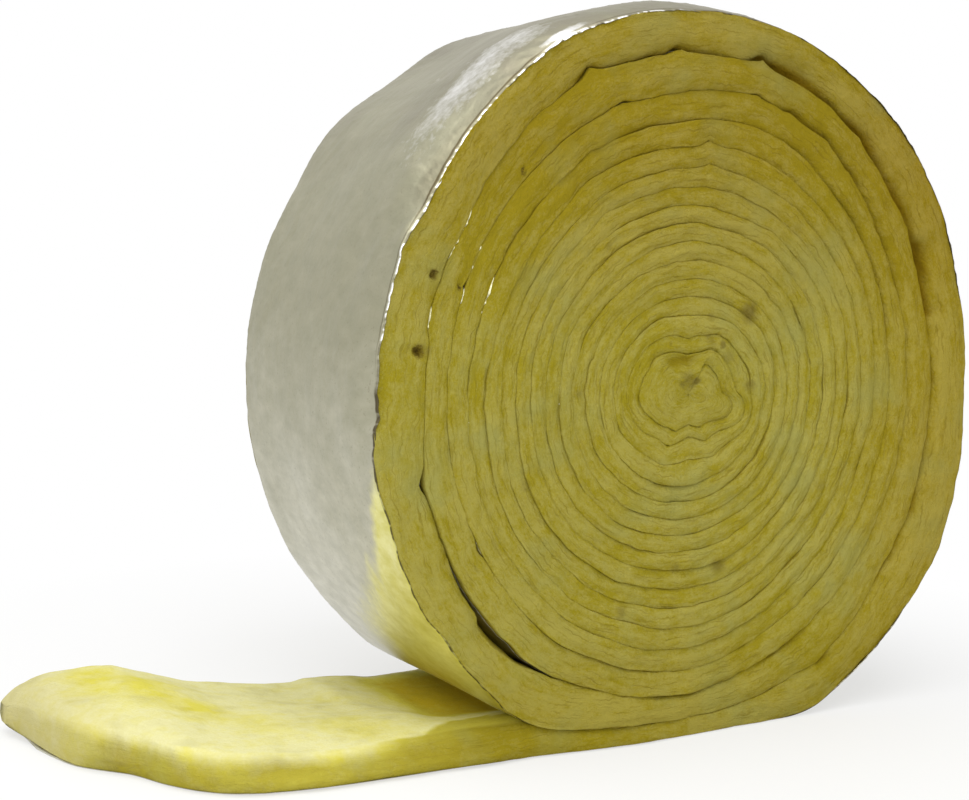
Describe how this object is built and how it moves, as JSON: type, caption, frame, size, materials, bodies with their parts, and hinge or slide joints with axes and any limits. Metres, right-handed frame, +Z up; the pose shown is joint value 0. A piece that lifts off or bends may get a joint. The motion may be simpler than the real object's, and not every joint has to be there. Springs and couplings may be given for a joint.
{
  "type": "insulation roll",
  "caption": "Short wide roll of glass-wool blanket with a foil facing outwards, lying on its side with a loose tail laid out flat on the floor.",
  "frame": {"origin": "on the floor, under the roll's centre, half way along the roll's width", "axes": "+X runs across the roll away from the loose tail, +Y runs along the roll's axis, +Z is up"},
  "size_m": [0.4707, 0.1524, 0.3573],
  "materials": {
    "glass_wool": "matt, fibrous, soft",
    "foil_laminate": "satin, finely dimpled"
  },
  "bodies": {
    "root": {"glass_wool_blanket": "glass_wool", "foil_facing": "foil_laminate"}
  },
  "joints": []
}
